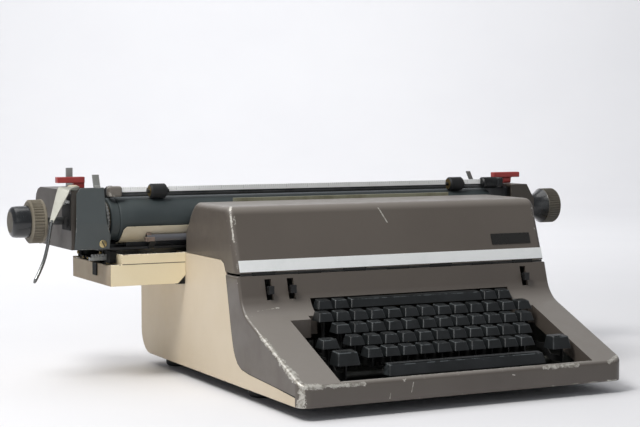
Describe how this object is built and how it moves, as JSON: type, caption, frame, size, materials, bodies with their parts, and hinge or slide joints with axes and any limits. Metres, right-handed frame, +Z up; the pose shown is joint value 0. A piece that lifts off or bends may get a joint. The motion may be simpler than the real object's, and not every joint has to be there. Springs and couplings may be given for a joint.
{
  "type": "manual typewriter",
  "caption": "Desk typewriter with a stepped casing, hinged top cover, sloped keyboard, type basket and a wide sliding carriage with platen, knobs, bail and return lever.",
  "frame": {"origin": "on the table under the middle of the whole outline, carriage at its pictured place", "axes": "+X to the typist's right, +Y from the keyboard to the rear, +Z up"},
  "size_m": [0.6546, 0.404, 0.22],
  "materials": {
    "grey_paint": "satin stoved paint, worn at the edges",
    "beige_paint": "satin stoved paint",
    "brown_paint": "satin paint",
    "slate_paint": "satin paint",
    "black_paint": "semi-matt paint",
    "cream_paint": "satin paint",
    "steel": "bare steel",
    "bright_trim": "brushed",
    "bright_lever": "polished",
    "bare_plate": "gloss",
    "key_plastic": "satin, edges polished by use",
    "selector_plastic": "gloss",
    "knob_plastic": "gloss",
    "red_plastic": "satin",
    "platen_rubber": "smooth",
    "black_rubber": "matt",
    "aged_brass": "aged",
    "spool_metal": "enamel",
    "bail_metal": "satin"
  },
  "bodies": {
    "machine": {"bottom_pan": "black_paint", "rubber_feet": "black_rubber", "left_casing": "beige_paint", "right_casing": "beige_paint", "rear_casing": "beige_paint", "rail_wings": "beige_paint", "front_housing": "grey_paint", "machine_frame": "steel", "carriage_rail": "steel", "fulcrum_shaft": "steel", "key_comb": "steel", "line_scale": "aged_brass", "cover_hinge_rod": "steel", "margin_bell": "aged_brass"},
    "cover": {"top_cover": "grey_paint", "trim_strip": "bright_trim", "name_plate": "bare_plate"},
    "front_row": {"front_letter_keys": "key_plastic", "front_letter_levers": "steel"},
    "home_row": {"home_keys": "key_plastic", "home_levers": "steel"},
    "upper_row": {"upper_letter_keys": "key_plastic", "upper_letter_levers": "steel"},
    "number_row": {"number_keys": "key_plastic", "number_levers": "steel"},
    "centre_key": {"centre_key": "key_plastic"},
    "centre_typebar": {"centre_typebar": "steel"},
    "function_keys": {"function_key_set": "key_plastic"},
    "tab_bar": {"tab_bar": "key_plastic"},
    "space_bar": {"space_bar": "key_plastic"},
    "shift": {"shift_keys": "key_plastic", "shift_levers": "steel"},
    "shift_lock": {"shift_lock_key": "key_plastic"},
    "selector_left": {"selector_left": "selector_plastic"},
    "selector_middle": {"selector_middle": "selector_plastic"},
    "selector_right": {"selector_right": "selector_plastic"},
    "basket": {"type_segment": "steel", "typebars": "steel"},
    "vibrator": {"ribbon_vibrator": "steel"},
    "spool_left": {"ribbon_spool_left": "spool_metal"},
    "spool_right": {"ribbon_spool_right": "spool_metal"},
    "drum": {"mainspring_drum": "steel"},
    "carriage": {"carriage_bed": "black_paint", "left_end_housing": "brown_paint", "right_end_housing": "brown_paint", "line_space_cover": "slate_paint", "paper_deflector": "cream_paint", "paper_table": "black_paint"},
    "platen": {"platen": "platen_rubber", "platen_shaft": "steel", "left_knob": "knob_plastic", "right_knob": "knob_plastic"},
    "feed_roller": {"feed_roller": "black_rubber"},
    "bail": {"paper_bail": "bail_metal"},
    "bail_rollers": {"bail_rollers": "black_rubber"},
    "return_lever": {"return_lever": "bright_lever"},
    "release_left": {"carriage_release_left": "red_plastic"},
    "release_right": {"carriage_release_right": "red_plastic"},
    "paper_release": {"paper_release_lever": "bright_lever"},
    "line_space_selector": {"line_space_selector": "bright_lever"}
  },
  "joints": [
    {"name": "cover_hinge", "type": "hinge", "parent": "machine", "child": "cover", "pos_m": [0.02875, -0.06194, 0.1198], "axis": [1, 0, 0], "range_deg": [0, 70]},
    {"name": "front_row_press", "type": "hinge", "parent": "machine", "child": "front_row", "pos_m": [0.02875, 0.128, 0.04], "axis": [1, 0, 0], "range_deg": [0, 2.4], "stiffness_Nm_per_rad": 2.6, "springref_deg": -11.46},
    {"name": "home_row_press", "type": "hinge", "parent": "machine", "child": "home_row", "pos_m": [0.02875, 0.128, 0.04], "axis": [1, 0, 0], "range_deg": [0, 2.4], "stiffness_Nm_per_rad": 2.6, "springref_deg": -11.46},
    {"name": "upper_row_press", "type": "hinge", "parent": "machine", "child": "upper_row", "pos_m": [0.02875, 0.128, 0.04], "axis": [1, 0, 0], "range_deg": [0, 2.4], "stiffness_Nm_per_rad": 2.8, "springref_deg": -11.46},
    {"name": "number_row_press", "type": "hinge", "parent": "machine", "child": "number_row", "pos_m": [0.02875, 0.128, 0.04], "axis": [1, 0, 0], "range_deg": [0, 2.4], "stiffness_Nm_per_rad": 2.8, "springref_deg": -11.46},
    {"name": "centre_key_press", "type": "hinge", "parent": "machine", "child": "centre_key", "pos_m": [0.02875, 0.128, 0.04], "axis": [1, 0, 0], "range_deg": [0, 2.4], "stiffness_Nm_per_rad": 0.35, "springref_deg": -11.46},
    {"name": "function_keys_press", "type": "hinge", "parent": "machine", "child": "function_keys", "pos_m": [0.02875, 0.128, 0.04], "axis": [1, 0, 0], "range_deg": [0, 2.4], "stiffness_Nm_per_rad": 1, "springref_deg": -11.46},
    {"name": "tab_bar_press", "type": "hinge", "parent": "machine", "child": "tab_bar", "pos_m": [0.02875, 0.128, 0.04], "axis": [1, 0, 0], "range_deg": [0, 2.4], "stiffness_Nm_per_rad": 0.9, "springref_deg": -11.46},
    {"name": "space_bar_press", "type": "hinge", "parent": "machine", "child": "space_bar", "pos_m": [0.02875, 0.128, 0.04], "axis": [1, 0, 0], "range_deg": [0, 2], "stiffness_Nm_per_rad": 1.6, "springref_deg": -11.46},
    {"name": "shift_press", "type": "hinge", "parent": "machine", "child": "shift", "pos_m": [0.02875, 0.128, 0.04], "axis": [1, 0, 0], "range_deg": [0, 2.4], "stiffness_Nm_per_rad": 1.2, "springref_deg": -11.46},
    {"name": "shift_lock_press", "type": "hinge", "parent": "shift", "child": "shift_lock", "pos_m": [-0.08825, -0.102, 0.04], "axis": [1, 0, 0], "range_deg": [0, 4], "stiffness_Nm_per_rad": 0.1, "springref_deg": -11.46},
    {"name": "selector_left_swing", "type": "hinge", "parent": "machine", "child": "selector_left", "pos_m": [-0.11825, -0.04591, 0.10505], "axis": [1, 0, 0], "range_deg": [-10, 10]},
    {"name": "selector_middle_swing", "type": "hinge", "parent": "machine", "child": "selector_middle", "pos_m": [-0.09425, -0.04591, 0.10505], "axis": [1, 0, 0], "range_deg": [-10, 10]},
    {"name": "selector_right_swing", "type": "hinge", "parent": "machine", "child": "selector_right", "pos_m": [0.17725, -0.04591, 0.10505], "axis": [1, 0, 0], "range_deg": [-10, 10]},
    {"name": "basket_shift", "type": "slide", "parent": "machine", "child": "basket", "axis": [0, 0, -1], "range_m": [0, 0.006], "stiffness_N_per_m": 500, "springref_m": -0.02},
    {"name": "typebar_swing", "type": "hinge", "parent": "basket", "child": "centre_typebar", "pos_m": [0.02875, 0.068, 0.097], "axis": [-1, 0, 0], "range_deg": [0, 89]},
    {"name": "vibrator_lift", "type": "slide", "parent": "basket", "child": "vibrator", "axis": [0, 0, 1], "range_m": [0, 0.006]},
    {"name": "spool_left_spin", "type": "hinge", "parent": "machine", "child": "spool_left", "pos_m": [-0.09325, 0.01275, 0.15], "axis": [0, 0, 1], "continuous": true},
    {"name": "spool_right_spin", "type": "hinge", "parent": "machine", "child": "spool_right", "pos_m": [0.15075, 0.01275, 0.15], "axis": [0, 0, 1], "continuous": true},
    {"name": "carriage_slide", "type": "slide", "parent": "machine", "child": "carriage", "axis": [1, 0, 0], "range_m": [-0.2, 0.125]},
    {"name": "drum_spin", "type": "hinge", "parent": "machine", "child": "drum", "pos_m": [-0.09125, 0.158, 0.07], "axis": [0, 1, 0], "range_deg": [-412, 258]},
    {"name": "platen_turn", "type": "hinge", "parent": "carriage", "child": "platen", "pos_m": [0.00675, 0.098, 0.167], "axis": [1, 0, 0], "continuous": true},
    {"name": "feed_roller_turn", "type": "hinge", "parent": "carriage", "child": "feed_roller", "pos_m": [0.00675, 0.1114, 0.14379], "axis": [1, 0, 0], "continuous": true},
    {"name": "bail_lift", "type": "hinge", "parent": "carriage", "child": "bail", "pos_m": [0.00675, 0.13, 0.188], "axis": [-1, 0, 0], "range_deg": [0, 40]},
    {"name": "bail_rollers_turn", "type": "hinge", "parent": "bail", "child": "bail_rollers", "pos_m": [0.00675, 0.088, 0.1956], "axis": [1, 0, 0], "continuous": true},
    {"name": "return_lever_swing", "type": "hinge", "parent": "carriage", "child": "return_lever", "pos_m": [-0.26675, 0.081, 0.2], "axis": [0, 0, 1], "range_deg": [0, 22], "stiffness_Nm_per_rad": 0.15, "springref_deg": -5.73},
    {"name": "release_left_press", "type": "hinge", "parent": "carriage", "child": "release_left", "pos_m": [-0.25675, 0.098, 0.2013], "axis": [1, 0, 0], "range_deg": [0, 12], "stiffness_Nm_per_rad": 0.02, "springref_deg": -11.46},
    {"name": "release_right_press", "type": "hinge", "parent": "carriage", "child": "release_right", "pos_m": [0.26275, 0.098, 0.1973], "axis": [1, 0, 0], "range_deg": [0, 12], "stiffness_Nm_per_rad": 0.02, "springref_deg": -11.46},
    {"name": "paper_release_swing", "type": "hinge", "parent": "carriage", "child": "paper_release", "pos_m": [-0.25925, 0.116, 0.2013], "axis": [1, 0, 0], "range_deg": [0, 25]},
    {"name": "line_space_select", "type": "hinge", "parent": "carriage", "child": "line_space_selector", "pos_m": [-0.23625, 0.096, 0.1993], "axis": [1, 0, 0], "range_deg": [-15, 15]}
  ],
  "couplings": [
    {"joint": "typebar_swing", "follows": "centre_key_press", "ratio": 37},
    {"joint": "vibrator_lift", "follows": "centre_key_press", "m_per_rad": 0.14085},
    {"joint": "basket_shift", "follows": "shift_press", "m_per_rad": 0.14085},
    {"joint": "spool_right_spin", "follows": "spool_left_spin", "ratio": 1},
    {"joint": "drum_spin", "follows": "carriage_slide", "rad_per_m": 35.714},
    {"joint": "feed_roller_turn", "follows": "platen_turn", "ratio": -5.625}
  ]
}
